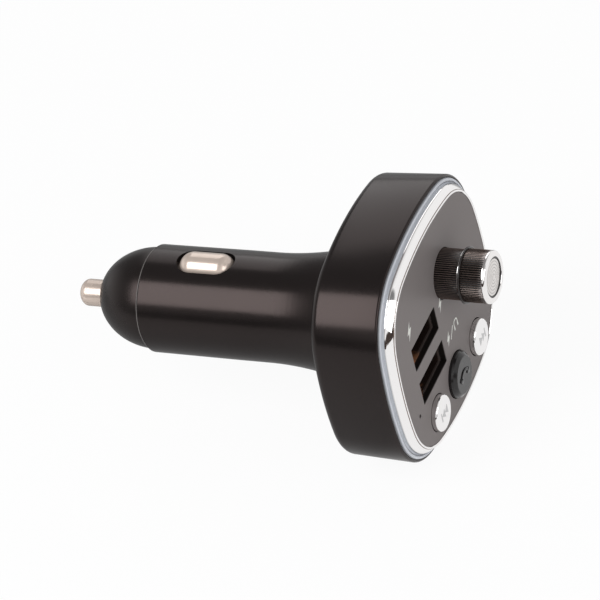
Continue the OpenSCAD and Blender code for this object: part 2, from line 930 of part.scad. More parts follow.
module board_header() {
    strip_w = 11.6;
    strip_h = 2.5;
    strip_t = 3;
    pin = 0.64;
    pin_len = 1.7;
    pitch = 2.2;
    seat = power_t / 2 - head_raise;
    color([0.05, 0.05, 0.05]) {
        block(strip_w, strip_h, board_back, board_back + strip_t, 0, seat + strip_h / 2);
        for (k = [-2:2])
            block(pin, pin, board_back + strip_t - join, board_back + strip_t + pin_len,
                  pitch * k, seat + pin / 2);
    }
}

module power_board() {
    color([0.1, 0.35, 0.2]) {
        translate([-power_w / 2, power_start, -power_t / 2])
            cube([power_w, power_tongue - power_start, power_t]);
        translate([-power_tongue_w / 2, power_tongue - join, -power_t / 2])
            cube([power_tongue_w, power_end - power_tongue + join, power_t]);
    }
}

module power_inductor() {
    flange = 4;
    core = 3.3;
    rim = 1;
    height = 5;
    color([0.25, 0.25, 0.26])
    translate([0, inductor_y, power_t / 2])
        rotate_extrude()
            polygon([[0, 0], [flange, 0], [flange, rim], [core, rim], [core, height - rim],
                [flange, height - rim], [flange, height], [0, height]]);
}

module power_capacitors() {
    can_r = 2.5;
    waist_r = 2.3;
    waist = 1.2;
    height = 6.2;
    color([0.3, 0.32, 0.36])
    for (turn = [0, 180])
        rotate([0, turn, 0])
            translate([0, capacitor_y, power_t / 2])
                rotate_extrude()
                    polygon([[0, 0], [can_r, 0], [can_r, waist - 3 * join], [waist_r, waist - join],
                        [waist_r, waist + join], [can_r, waist + 3 * join], [can_r, height], [0, height]]);
}

module power_chip() {
    chip_w = 4;
    chip_len = 5;
    chip_t = 1.5;
    color([0.08, 0.08, 0.09])
    translate([-chip_w / 2, inductor_y - chip_w, -power_t / 2 - chip_t]) cube([chip_w, chip_len, chip_t]);
}

// Small pan-head screw that points towards the face or the plug
module screw(shaft, head_r, head_t, reach) {
    slot_w = 0.3;
    slot_len = 1.2 * head_r;
    slot_depth = head_t / 2;
    cylinder(r = shaft, h = reach);
    translate([0, 0, -head_t])
        difference() {
            cylinder(r = head_r, h = head_t);
            for (turn = [0, 90])
                rotate(turn)
                    translate([-slot_len / 2, -slot_w / 2, -join])
                        cube([slot_len, slot_w, slot_depth + join]);
        }
}

module frame_screws() {
    color([0.6, 0.6, 0.6])
    at_posts()
        translate([0, at(board_back), head_raise])
            rotate([90, 0, 0]) screw(pilot_r, 1.6, 0.9, board_t + pilot_depth - past);
}

module barrel_screws() {
    color([0.6, 0.6, 0.6])
    at_ears()
        translate([0, at(cavity_back - flange_t), 0])
            rotate([-90, 0, 0]) screw(ear_screw_r - fit_gap, 1.5, 0.6, flange_t + ear_pilot - 2 * join);
}

head_shell();
plug_barrel();
nose_cap();
light_ring();
chrome_bezel();
face_panel();
front_frame();
usb_shell_upper();
usb_shell_lower();
usb_tongue_upper();
usb_tongue_lower();
usb_contacts_upper();
usb_contacts_lower();
main_board();
encoder_body();
display_module();
display_holder();
microphone();
ring_leds();
switch_body_left();
switch_body_centre();
switch_body_right();
wireless_chip();
crystal();
tuner_chip();
board_header();
power_board();
power_inductor();
power_capacitors();
power_chip();
tip_terminal();
frame_screws();
barrel_screws();
tip_spring();
tip_contact();
side_contact_top();
side_contact_bottom();
leaf_spring_top();
leaf_spring_bottom();
button_left();
button_centre();
button_right();
switch_stem_left();
switch_stem_centre();
switch_stem_right();
encoder_plunger();
encoder_shaft();
knob_sleeve();
knob_collar();
knob_cap();
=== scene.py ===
import json
import math

import bpy
from mathutils import Matrix, Quaternion, Vector


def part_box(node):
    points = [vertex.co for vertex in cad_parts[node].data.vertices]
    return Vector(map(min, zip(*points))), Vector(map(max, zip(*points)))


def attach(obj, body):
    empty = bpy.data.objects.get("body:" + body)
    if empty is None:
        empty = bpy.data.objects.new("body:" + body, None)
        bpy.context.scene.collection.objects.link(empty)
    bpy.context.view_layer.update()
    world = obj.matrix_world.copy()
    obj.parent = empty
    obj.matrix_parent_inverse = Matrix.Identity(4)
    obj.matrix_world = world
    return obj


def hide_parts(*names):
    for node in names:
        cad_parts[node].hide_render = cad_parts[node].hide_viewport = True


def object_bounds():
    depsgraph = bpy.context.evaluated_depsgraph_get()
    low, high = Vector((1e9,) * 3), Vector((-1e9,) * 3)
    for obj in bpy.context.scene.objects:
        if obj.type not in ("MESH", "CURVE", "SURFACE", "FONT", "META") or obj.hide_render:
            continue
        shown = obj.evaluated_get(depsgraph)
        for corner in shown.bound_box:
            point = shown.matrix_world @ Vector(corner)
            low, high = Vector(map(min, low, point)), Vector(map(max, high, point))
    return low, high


bl_info = {
    "name": "Car FM Transmitter",
    "version": (1, 0, 0),
    "blender": (4, 5, 0),
    "location": "View3D > Sidebar > Transmitter",
    "description": "Models and finishes the visible pieces of a car FM transmitter",
    "category": "Object",
}

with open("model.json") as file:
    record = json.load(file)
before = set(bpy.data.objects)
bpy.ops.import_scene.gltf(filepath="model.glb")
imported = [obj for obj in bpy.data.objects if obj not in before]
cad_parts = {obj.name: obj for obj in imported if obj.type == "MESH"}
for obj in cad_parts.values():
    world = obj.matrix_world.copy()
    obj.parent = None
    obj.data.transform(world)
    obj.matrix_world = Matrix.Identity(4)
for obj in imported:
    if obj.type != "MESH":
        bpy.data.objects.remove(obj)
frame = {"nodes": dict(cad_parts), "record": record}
NODES = frame["nodes"]
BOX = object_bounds()

MM = 0.001
SHARP = math.radians(32)
WELD_REACH = 2e-6
LOOP_SLACK = 1e-6


def middle(node):
    """Middle of a CAD node's box."""
    low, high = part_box(node)
    return (low + high) / 2


def half_width(node):
    """Half of a CAD node's width."""
    low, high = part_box(node)
    return (high.x - low.x) / 2


FACE_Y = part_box("face_panel")[0].y
FACE_Z = middle("face_panel").z
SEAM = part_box("plug_barrel")[1].y
NOSE_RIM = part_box("nose_cap")[1].x - 0.25 * MM
BARREL_HOLE_RADIUS = 0.01358
SOCKET_FRONT = FACE_Y + 1.25 * MM
NUMBER, COLOUR = "NodeSocketFloat", "NodeSocketColor"


class FaceSizes(bpy.types.PropertyGroup):
    """Outline of the face and the borders round it"""

    panel_width: bpy.props.FloatProperty(
        name="Panel width", description="Width of the smoked panel", default=0.0446,
        unit="LENGTH", precision=4)
    panel_height: bpy.props.FloatProperty(
        name="Panel height", description="Height of the smoked panel", default=0.0406,
        unit="LENGTH", precision=4)
    side_radius: bpy.props.FloatProperty(
        name="Side radius", description="Radius of the bowed sides", default=0.060,
        unit="LENGTH", precision=4)
    corner_radius: bpy.props.FloatProperty(
        name="Corner radius", description="Radius of the corners", default=0.012,
        unit="LENGTH", precision=4)
    side_steps: bpy.props.IntProperty(
        name="Side steps", description="Steps along one bowed side", default=18)
    corner_steps: bpy.props.IntProperty(
        name="Corner steps", description="Steps round one corner", default=22)


class KnobSizes(bpy.types.PropertyGroup):
    """Ribs and end ring of the knob"""

    rib_count: bpy.props.IntProperty(
        name="Ribs", description="Ribs round the sleeve and round the cap", default=72)
    rib_steps: bpy.props.IntProperty(
        name="Rib steps", description="Steps over one rib", default=6)
    rib_depth: bpy.props.FloatProperty(
        name="Rib depth", description="Depth of the ribs", default=0.00018,
        unit="LENGTH", precision=5)
    ring_depth: bpy.props.FloatProperty(
        name="Ring depth", description="Depth of the smooth end ring", default=0.00075,
        unit="LENGTH", precision=5)
    ring_bevel: bpy.props.FloatProperty(
        name="Ring bevel", description="Rounded edge of the end ring", default=0.00045,
        unit="LENGTH", precision=5)
    ring_width: bpy.props.FloatProperty(
        name="Ring width", description="Width of the end ring", default=0.0012,
        unit="LENGTH", precision=5)


class FinishColours(bpy.types.PropertyGroup):
    """Colours of the finishes that show"""

    shell: bpy.props.FloatVectorProperty(
        name="Shell", description="Moulded black plastic of head and barrel",
        default=(0.0085, 0.0072, 0.0070), subtype="COLOR", size=3)
    nose: bpy.props.FloatVectorProperty(
        name="Nose", description="Black plastic of the nose cap",
        default=(0.0080, 0.0070, 0.0068), subtype="COLOR", size=3)
    light_ring: bpy.props.FloatVectorProperty(
        name="Light ring", description="Translucent light guide",
        default=(0.50, 0.52, 0.555), subtype="COLOR", size=3)
    panel: bpy.props.FloatVectorProperty(
        name="Panel", description="Smoked face panel",
        default=(0.212, 0.19, 0.184), subtype="COLOR", size=3)
    chrome: bpy.props.FloatVectorProperty(
        name="Chrome", description="Plated trim, buttons and knob cap",
        default=(0.86, 0.845, 0.84), subtype="COLOR", size=3)
    nickel: bpy.props.FloatVectorProperty(
        name="Nickel", description="Plated contacts of the plug",
        default=(0.64, 0.535, 0.465), subtype="COLOR", size=3)


def outline_plan(sizes):
    """Arcs of the face outline: start point, then centre, turn and steps of each arc, in metres."""
    side_c = sizes.panel_width / 2 - sizes.side_radius
    top_c = sizes.panel_height / 2 - sizes.side_radius
    span = math.hypot(side_c, top_c)
    rise = math.sqrt((sizes.side_radius - sizes.corner_radius) ** 2 - (span / 2) ** 2)
    corner_x = side_c / 2 - rise * top_c / span
    corner_z = top_c / 2 - rise * side_c / span
    side_a = math.atan2(corner_z, corner_x - side_c)
    top_a = math.atan2(corner_z - top_c, corner_x)
    side_turn, top_turn, corner_turn = 2 * side_a, math.pi - 2 * top_a, top_a - side_a
    flat = [
        ((side_c, 0), side_turn, sizes.side_steps),
        ((corner_x, corner_z), corner_turn, sizes.corner_steps),
        ((0, top_c), top_turn, sizes.side_steps),
        ((-corner_x, corner_z), corner_turn, sizes.corner_steps),
        ((-side_c, 0), side_turn, sizes.side_steps),
        ((-corner_x, -corner_z), corner_turn, sizes.corner_steps),
        ((0, -top_c), top_turn, sizes.side_steps),
        ((corner_x, -corner_z), corner_turn, sizes.corner_steps),
    ]
    arcs = [((x, z + FACE_Z), turn, steps) for (x, z), turn, steps in flat]
    return {"start_centre": side_c, "radius": sizes.side_radius, "start": -side_a, "arcs": arcs}


def deselect():
    """Leave edit mode and deselect everything, the CAD nodes too."""
    if bpy.context.object and bpy.context.object.mode != "OBJECT":
        bpy.ops.object.mode_set(mode="OBJECT")
    bpy.ops.object.select_all(action="DESELECT")


def pick(obj):
    """Make one object the only selected and the active one."""
    deselect()
    obj.select_set(True)
    bpy.context.view_layer.objects.active = obj


def trace(name, points):
    """Draw a chain of edges by extruding one vertex from point to point."""
    deselect()
    bpy.ops.mesh.primitive_plane_add(size=MM, location=points[0])
    obj = bpy.context.object
    obj.name = name
    bpy.ops.object.mode_set(mode="EDIT")
    bpy.ops.mesh.select_all(action="SELECT")
    bpy.ops.mesh.merge(type="CENTER")
    for a, b in zip(points, points[1:]):
        bpy.ops.mesh.extrude_vertices_move(
            TRANSFORM_OT_translate={"value": Vector(b) - Vector(a)})
    return obj


def select_where(obj, test):
    """Select the vertices of obj in edit mode whose place passes the test."""
    bpy.ops.object.mode_set(mode="EDIT")
    bpy.ops.mesh.select_mode(type="VERT")
    bpy.ops.mesh.select_all(action="DESELECT")
    bpy.ops.object.mode_set(mode="OBJECT")
    for v in obj.data.vertices:
        v.select = test(obj.matrix_world @ v.co)
    bpy.ops.object.mode_set(mode="EDIT")


def close_chain(obj):
    """Join the two ends of an open chain of edges."""
    bpy.ops.mesh.select_all(action="DESELECT")
    bpy.ops.object.mode_set(mode="OBJECT")
    uses = [0] * len(obj.data.vertices)
    for edge in obj.data.edges:
        for v in edge.vertices:
            uses[v] += 1
    for v, count in zip(obj.data.vertices, uses):
        v.select = count == 1
    bpy.ops.object.mode_set(mode="EDIT")
    bpy.ops.mesh.edge_face_add()


def weld(obj):
    """Merge doubles and turn all faces outwards."""
    bpy.ops.object.mode_set(mode="EDIT")
    bpy.ops.mesh.select_mode(type="VERT")
    bpy.ops.mesh.select_all(action="SELECT")
    bpy.ops.mesh.remove_doubles(threshold=WELD_REACH)
    bpy.ops.mesh.normals_make_consistent(inside=False)
    bpy.ops.object.mode_set(mode="OBJECT")


def settle(obj):
    """Put the place of the piece into its mesh and shade it smooth up to the sharp edges."""
    pick(obj)
    bpy.ops.object.transform_apply(location=True, rotation=True, scale=True)
    bpy.ops.object.shade_smooth_by_angle(angle=SHARP)
    return obj


def modify(obj, label, kind, **settings):
    """Put a modifier on a piece and apply it."""
    pick(obj)
    mod = obj.modifiers.new(label, kind)
    for key, value in settings.items():
        setattr(mod, key, value)
    bpy.ops.object.modifier_apply(modifier=mod.name)


def bevel_edges(obj, width):
    """Round the sharp edges of a piece."""
    modify(obj, "Rounded edges", "BEVEL", width=width, segments=2, limit_method="ANGLE",
           angle_limit=SHARP, use_clamp_overlap=True)


def carve(obj, cutter):
    """Cut one piece out of another, then delete the cutter."""
    modify(obj, "Cut", "BOOLEAN", object=cutter, operation="DIFFERENCE", solver="EXACT")
    pick(cutter)
    bpy.ops.object.delete()
    pick(obj)


def spin(steps, angle, x, z, copies=False):
    """Turn what is selected round an axis along Y."""
    bpy.ops.mesh.spin(steps=steps, angle=angle, center=(x, 0, z), axis=(0, 1, 0), dupli=copies)


def extrude(shift):
    """Extrude all that is drawn."""
    bpy.ops.mesh.select_all(action="SELECT")
    bpy.ops.mesh.extrude_region_move(TRANSFORM_OT_translate={"value": shift})


def sweep(name, profile, plan, closed=True):
    """Turn a profile of (border, depth) points, in mm, round the face outline, arc by arc."""
    reach = [plan["radius"] + border * MM for border, _ in profile]
    points = [(plan["start_centre"] + r * math.cos(plan["start"]), FACE_Y + depth * MM,
               FACE_Z + r * math.sin(plan["start"])) for r, (_, depth) in zip(reach, profile)]
    obj = trace(name, points)
    if closed:
        close_chain(obj)
    bpy.ops.mesh.select_all(action="SELECT")
    for (x, z), turn, steps in plan["arcs"]:
        spin(steps, turn, x, z)
    weld(obj)
    return obj


def cap_loop(obj, y):
    """Fill the open loop that lies at one y."""
    select_where(obj, lambda p: abs(p.y - y) < LOOP_SLACK)
    bpy.ops.mesh.edge_face_add()
    weld(obj)


def lathe(name, profile, x=0.0, z=0.0, steps=96):
    """Turn a profile of (radius, y) points, in metres, round an axis along Y."""
    obj = trace(name, [(x + r, y, z) for r, y in profile])
    bpy.ops.mesh.select_all(action="SELECT")
    spin(steps, 2 * math.pi, x, z)
    weld(obj)
    return obj


def rounded(corners, radius, steps):
    """Points of a closed polygon with its corners rounded, in the order given."""
    points = []
    for i, corner in enumerate(corners):
        c = Vector(corner)
        a = (Vector(corners[i - 1]) - c).normalized()
        b = (Vector(corners[(i + 1) % len(corners)]) - c).normalized()
        half = a.angle(b) / 2
        centre = c + (a + b).normalized() * radius / math.sin(half)
        start = c + a * radius / math.tan(half) - centre
        end = c + b * radius / math.tan(half) - centre
        for k in range(steps + 1):
            points.append(tuple(centre + start.lerp(end, k / steps).normalized() * radius))
    return points


def stroke(points, width):
    """Outline of a stroke of even width along a polyline, as for a printed symbol."""
    left, right = [], []
    for i, point in enumerate(points):
        before = Vector(points[max(i - 1, 0)])
        after = Vector(points[min(i + 1, len(points) - 1)])
        side = (after - before).normalized().orthogonal() * width / 2
        left.append(tuple(Vector(point) + side))
        right.append(tuple(Vector(point) - side))
    return left + right[::-1]


def slab_from(name, points, front, back):
    """Plate from an outline of (x, z) points between two y values, all in metres."""
    obj = trace(name, [(x, front, z) for x, z in points])
    close_chain(obj)
    bpy.ops.mesh.select_all(action="SELECT")
    bpy.ops.mesh.edge_face_add()
    extrude((0, back - front, 0))
    weld(obj)
    return obj


def group_tree(name, inputs, outputs):
    """New shader node group, with the sockets of its two ends."""
    tree = bpy.data.node_groups.new(name, "ShaderNodeTree")
    for label, kind, value in inputs:
        socket = tree.interface.new_socket(label, in_out="INPUT", socket_type=kind)
        socket.default_value = value
    for label, kind in outputs:
        tree.interface.new_socket(label, in_out="OUTPUT", socket_type=kind)
    source = tree.nodes.new("NodeGroupInput")
    target = tree.nodes.new("NodeGroupOutput")
    return tree, source.outputs, target.inputs


def add(tree, kind, **settings):
    """New node; a key that starts with in_ links a socket or sets a value by the input's place."""
    node = tree.nodes.new(kind)
    for key, value in settings.items():
        if not key.startswith("in_"):
            setattr(node, key, value)
        elif isinstance(value, bpy.types.NodeSocket):
            tree.links.new(value, node.inputs[int(key[3:])])
        else:
            node.inputs[int(key[3:])].default_value = value
    return node


def maths(tree, operation, *values, clamp=False):
    """Result of a Math node on sockets and numbers."""
    inputs = {f"in_{place}": value for place, value in enumerate(values)}
    return add(tree, "ShaderNodeMath", operation=operation, use_clamp=clamp, **inputs).outputs[0]


def vectors(tree, operation, **inputs):
    """Vector Math node."""
    return add(tree, "ShaderNodeVectorMath", operation=operation, **inputs)


def tinted(tree, colour, share):
    """A colour made lighter or darker by a share."""
    return vectors(tree, "SCALE", in_0=colour, in_3=share).outputs[0]


def noise(tree, place, scale, detail, rough=0.5):
    """Value of a noise over a place."""
    node = add(tree, "ShaderNodeTexNoise", in_0=place, in_2=scale, in_3=detail, in_4=rough)
    return node.outputs["Fac"]


def scaled(tree, value, start, end, low=0.0, high=1.0):
    """Value that goes from low to high while another goes from start to end, and no further."""
    node = add(tree, "ShaderNodeMapRange", in_0=value, in_1=start, in_2=end, in_3=low, in_4=high)
    return node.outputs["Result"]


def ramp(tree, share, stops):
    """Colour that follows a share over (share, colour) stops."""
    node = add(tree, "ShaderNodeValToRGB", in_0=share)
    low, high = node.color_ramp.elements
    low.position, low.color = stops[0][0], (*stops[0][1], 1)
    high.position, high.color = stops[-1][0], (*stops[-1][1], 1)
    for place, colour in stops[1:-1]:
        node.color_ramp.elements.new(place).color = (*colour, 1)
    return node.outputs["Color"]


def blend(tree, share, under, over):
    """A linked colour with a plain one laid over it by a share."""
    node = add(tree, "ShaderNodeMix", data_type="RGBA", in_0=share)
    tree.links.new(under, node.inputs["A"])
    node.inputs["B"].default_value = (*over, 1)
    return node.outputs["Result"]


def mesh_place(tree):
    """Place in the piece's own mesh, in metres."""
    return add(tree, "ShaderNodeTexCoord").outputs["Object"]


def axes(tree, place):
    """X, Y and Z of a place, by name."""
    return add(tree, "ShaderNodeSeparateXYZ", in_0=place).outputs


def moulded_group():
    """Fine spark grain with a soft mottle in colour and gloss."""
    tree, source, target = group_tree(
        "moulded grain",
        [("Colour", COLOUR, (0.02, 0.02, 0.02, 1)), ("Roughness", NUMBER, 0.4),
         ("Grain", NUMBER, 5000.0), ("Mottle", NUMBER, 0.08)],
        [("Colour", COLOUR), ("Roughness", NUMBER), ("Height", NUMBER)])
    place = mesh_place(tree)
    fine = noise(tree, place, source["Grain"], 3.0, 0.6)
    broad = maths(tree, "MULTIPLY_ADD", noise(tree, place, 160.0, 4.0), 4.0, -2.0)
    swing = maths(tree, "MULTIPLY", broad, source["Mottle"])
    rough = maths(tree, "ADD", source["Roughness"], swing, clamp=True)
    shade = maths(tree, "MULTIPLY_ADD", swing, 1.6, 1.0)
    tree.links.new(tinted(tree, source["Colour"], shade), target["Colour"])
    tree.links.new(rough, target["Roughness"])
    tree.links.new(fine, target["Height"])
    return tree


def plated_group():
    """Plated metal: faint handling haze and the slight waviness of plated plastic."""
    tree, source, target = group_tree(
        "plated haze",
        [("Roughness", NUMBER, 0.08), ("Haze", NUMBER, 0.06), ("Scale", NUMBER, 260.0)],
        [("Roughness", NUMBER), ("Height", NUMBER)])
    place = mesh_place(tree)
    haze = scaled(tree, noise(tree, place, source["Scale"], 5.0, 0.65), 0.42, 0.75)
    rough = maths(tree, "MULTIPLY_ADD", haze, source["Haze"], source["Roughness"])
    tree.links.new(rough, target["Roughness"])
    tree.links.new(noise(tree, place, 120.0, 2.0), target["Height"])
    return tree


def brushed_group():
    """Drawn or rolled sheet: fine lines along Y."""
    tree, source, target = group_tree(
        "drawn lines", [("Roughness", NUMBER, 0.3), ("Spread", NUMBER, 0.15)],
        [("Roughness", NUMBER), ("Height", NUMBER)])
    stretch = add(tree, "ShaderNodeMapping", in_0=mesh_place(tree), in_3=(9000, 500, 9000))
    lines = noise(tree, stretch.outputs["Vector"], 1.0, 2.0)
    rough = maths(tree, "MULTIPLY_ADD", lines, source["Spread"], source["Roughness"])
    tree.links.new(rough, target["Roughness"])
    tree.links.new(lines, target["Height"])
    return tree


GROUPS = {}


def groups():
    """The shared node groups, made once."""
    if not GROUPS:
        GROUPS.update(moulded=moulded_group(), plated=plated_group(), brushed=brushed_group())
    return GROUPS


def blank_material(name):
    """New material with its shader and its node tree."""
    mat = bpy.data.materials.new(name)
    mat.use_nodes = True
    return mat, mat.node_tree.nodes["Principled BSDF"], mat.node_tree


def grouped(name, kind, bump, depth, **inputs):
    """New material whose roughness and bump come from one of the node groups."""
    mat, shader, tree = blank_material(name)
    look = add(tree, "ShaderNodeGroup", node_tree=groups()[kind])
    for key, value in inputs.items():
        look.inputs[key].default_value = value
    relief = add(tree, "ShaderNodeBump")
    relief.inputs["Strength"].default_value = bump
    relief.inputs["Distance"].default_value = depth
    tree.links.new(look.outputs["Height"], relief.inputs["Height"])
    tree.links.new(relief.outputs["Normal"], shader.inputs["Normal"])
    tree.links.new(look.outputs["Roughness"], shader.inputs["Roughness"])
    return mat, shader, look


def moulded(name, colour, roughness, grain=5000.0, mottle=0.05, bump=0.12, ior=1.45,
            sheen=(1, 1, 1)):
    """Moulded plastic, rubber, ceramic or board lacquer."""
    mat, shader, look = grouped(name, "moulded", bump, 0.02 * MM, Colour=(*colour[:3], 1),
                                Roughness=roughness, Grain=grain, Mottle=mottle)
    mat.node_tree.links.new(look.outputs["Colour"], shader.inputs["Base Color"])
    shader.inputs["IOR"].default_value = ior
    shader.inputs["Specular Tint"].default_value = (*sheen, 1)
    return mat


def plated(name, colour, roughness, haze, bump=0.03, metal=1.0):
    """Chrome, nickel or gold plating."""
    mat, shader, _ = grouped(name, "plated", bump, 0.1 * MM, Roughness=roughness, Haze=haze)
    shader.inputs["Base Color"].default_value = (*colour[:3], 1)
    shader.inputs["Metallic"].default_value = metal
    return mat


def drawn(name, colour, roughness, spread=0.18, bump=0.1, metal=1.0):
    """Drawn wire, rolled sheet or brushed metal."""
    mat, shader, _ = grouped(name, "brushed", bump, 0.01 * MM, Roughness=roughness, Spread=spread)
    shader.inputs["Base Color"].default_value = (*colour[:3], 1)
    shader.inputs["Metallic"].default_value = metal
    return mat


def base_colour(mat):
    """Base Color input of a material."""
    return mat.node_tree.nodes["Principled BSDF"].inputs["Base Color"]


def graded(mat, start, end, stops):
    """Colour a finish by the depth along Y, from one place to another, by (share, colour) stops."""
    tree = mat.node_tree
    depth = scaled(tree, axes(tree, mesh_place(tree))["Y"], start, end)
    tree.links.new(ramp(tree, depth, stops), base_colour(mat))
    return mat


def from_axis(tree):
    """Distance from the knob's axis."""
    arm = vectors(tree, "SUBTRACT", in_0=mesh_place(tree), in_1=middle("knob_cap"))
    flat = vectors(tree, "MULTIPLY", in_0=arm.outputs[0], in_1=(1, 0, 1))
    return vectors(tree, "LENGTH", in_0=flat.outputs[0]).outputs["Value"]


def paint_rib_shade_and_highlight(mat, crest, light):
    """Painted shade in the valleys between the knob's ribs and painted highlights on their crests.
    """
    tree = mat.node_tree
    plain = base_colour(mat).links[0].from_socket
    # Darker towards the axis as painted valley shade, brighter at the crest as painted highlight.
    level = scaled(tree, from_axis(tree), crest - 0.11 * MM, crest, 0.08, light)
    tree.links.new(tinted(tree, plain, level), base_colour(mat))
    return mat


def cap_ribs_painted_reflection():
    """Chrome of the ribbed cap painted dark as a painted dark reflection, with a painted bright
    reflection towards its end ring.
    """
    # Stops: painted dark reflection along the ribs, painted bright reflection near the end ring.
    ribs = graded(
        plated("knob ribs", (0.05, 0.04, 0.035), 0.24, 0.08, 0.03, 0.6),
        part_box("knob_collar")[0].y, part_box("knob_cap")[0].y + 0.8 * MM,
        [(0.3, (0.040, 0.030, 0.026)), (0.8, (0.042, 0.031, 0.027)), (1.0, (0.13, 0.115, 0.11))])
    return paint_rib_shade_and_highlight(ribs, half_width("knob_cap"), 3.2)


def turned_end(colour):
    """Chrome of the knob's end, with fine dark turned lines inside its ring."""
    mat = plated("turned end", colour, 0.07, 0.08, 0.04)
    tree = mat.node_tree
    line_count = 5.5
    edge = half_width("knob_cap") - 1.7 * MM
    turns = maths(tree, "MULTIPLY", maths(tree, "MINIMUM", from_axis(tree), edge),
                  2 * math.pi * line_count / edge)
    dark = [0.42 * part for part in colour]
    face = ramp(tree, maths(tree, "COSINE", turns), [(0.72, colour), (1.0, dark)])
    ring = scaled(tree, from_axis(tree), edge, edge + 0.4 * MM)
    tree.links.new(blend(tree, ring, face, (0.84, 0.82, 0.81)), base_colour(mat))
    return mat


def socket_sheet():
    """Steel of the sockets: paler at the front rim and darker inside, the darkening painted shade,
    with a painted copper reflection on one side.
    """
    # Painted shade: darker with depth inside the socket.
    mat = graded(
        drawn("socket steel", (0.5, 0.44, 0.38), 0.14, 0.12, 0.1, 0.65),
        SOCKET_FRONT, FACE_Y + 4 * MM,
        [(0.1, (0.15, 0.12, 0.11)), (0.2, (0.045, 0.03, 0.025)), (1.0, (0.03, 0.018, 0.014))])
    tree = mat.node_tree
    place = mesh_place(tree)
    plain = base_colour(mat).links[0].from_socket
    # Painted copper reflection of the contacts on the left part of the walls, in noisy patches.
    port = middle("usb_shell_upper").x
    side = scaled(tree, axes(tree, place)["X"], port - 0.5 * MM, port - 4.5 * MM)
    patches = scaled(tree, noise(tree, place, 700.0, 3.0), 0.42, 0.62)
    copper_glint = blend(tree, maths(tree, "MULTIPLY", side, patches), plain, (1.0, 0.42, 0.18))
    tree.links.new(copper_glint, base_colour(mat))
    return mat


def panel_plastic(colour):
    """Smoked panel with an even front and dark cut edges."""
    return graded(
        moulded("panel gloss", colour, 0.42, 3000.0, 0.01, 0.02, 1.18, WARM),
        FACE_Y, FACE_Y + 0.3 * MM, [(0.2, colour), (0.6, (0.012, 0.010, 0.009))])


FINISHES = {}
WARM = (1.0, 0.80, 0.77)
SHELL_GRAIN = 4200.0


def make_finishes(colours):
    """One material for each slot of the record."""
    FINISHES.update({
        "shell_black": moulded(
            "shell black", colours.shell, 0.21, SHELL_GRAIN, 0.02, 0.10, 1.37, WARM),
        "nose_black": moulded(
            "nose black", colours.nose, 0.28, SHELL_GRAIN, 0.02, 0.10, 1.37, WARM),
        # Dark grey of the ring laid in the bezel's groove: painted shade.
        "groove_grey": moulded(
            "groove painted shade", (0.15, 0.105, 0.085), 0.4, SHELL_GRAIN, 0.02, 0.05, 1.4),
        # Pale grey of the ring at the seam: a painted highlight.
        "moulding_line": moulded(
            "seam painted highlight", (0.16, 0.145, 0.14), 0.3, SHELL_GRAIN, 0.02, 0.05, 1.45),
        # Light guide by depth: its own grey in front, paler towards the groove, then dark in the
        # groove's bottom and behind it, that dark being painted groove shade.
        "light_guide": graded(
            moulded("light guide", colours.light_ring, 0.32, 2600.0, 0.02, 0.04, 1.46),
            FACE_Y + 1.4 * MM, FACE_Y + 2.2 * MM,
            [(0.2, colours.light_ring[:3]), (0.62, (0.64, 0.66, 0.71)),
             (0.8, (0.25, 0.255, 0.27))]),
        "chrome_trim": plated("chrome trim", colours.chrome, 0.05, 0.05, 0.03),
        "panel_gloss": panel_plastic(colours.panel[:3]),
        "frame_plastic": moulded("frame plastic", (0.018, 0.018, 0.019), 0.5),
        "socket_steel": socket_sheet(),
        "tongue_plastic": moulded("tongue plastic", (0.012, 0.012, 0.012), 0.45),
        "gold_contact": plated("gold contact", (0.80, 0.47, 0.20), 0.2, 0.1),
        "board_green": moulded("board lacquer", (0.01, 0.10, 0.04), 0.35, 1500.0, 0.06, 0.2),
        "encoder_steel": drawn("encoder steel", (0.55, 0.55, 0.55), 0.3),
        "display_plastic": moulded("display plastic", (0.02, 0.02, 0.022), 0.3),
        "white_plastic": moulded("white plastic", (0.75, 0.75, 0.70), 0.45),
        "chip_black": moulded("chip epoxy", (0.015, 0.015, 0.016), 0.55, 6000.0, 0.05, 0.3),
        "coil_grey": moulded("coil ferrite", (0.05, 0.05, 0.052), 0.6, 3000.0, 0.08, 0.4),
        "can_sleeve": drawn("capacitor can", (0.6, 0.61, 0.62), 0.32),
        "brass_part": plated("brass part", (0.72, 0.50, 0.20), 0.28, 0.12),
        "screw_steel": drawn("screw steel", (0.5, 0.5, 0.51), 0.35),
        "spring_steel": drawn("spring wire", (0.55, 0.55, 0.54), 0.3),
        "nickel": plated("nickel plate", colours.nickel, 0.2, 0.08, 0.03, 0.4),
        "button_black": moulded(
            "button black", (0.0135, 0.012, 0.012), 0.16, SHELL_GRAIN, 0.03, 0.05, 1.42),
        # Knob cap ribs: chrome painted dark and bright as painted reflections.
        "knob_ribs": cap_ribs_painted_reflection(),
        "knob_black": moulded(
            "knob black", (0.018, 0.014, 0.013), 0.28, SHELL_GRAIN, 0.04, 0.08, 1.46),
        # Sleeve ribs: painted valley shade and painted crest highlights.
        "sleeve_ribs": paint_rib_shade_and_highlight(
            moulded("sleeve ribs", (0.036, 0.027, 0.024), 0.26, SHELL_GRAIN, 0.04, 0.04, 1.46),
            half_width("knob_sleeve"), 4.4),
        "turned_end": turned_end((0.68, 0.65, 0.63)),
    })


def finish(obj, look):
    """Settle a new piece and give it its material."""
    settle(obj)
    obj.data.materials.clear()
    obj.data.materials.append(FINISHES[look])


class TransmitterOperator(bpy.types.Operator):
    """Base of the operators, with the face outline at hand"""

    bl_options = {"REGISTER", "UNDO"}

    @property
    def plan(self):
        return outline_plan(bpy.context.scene.transmitter_face)


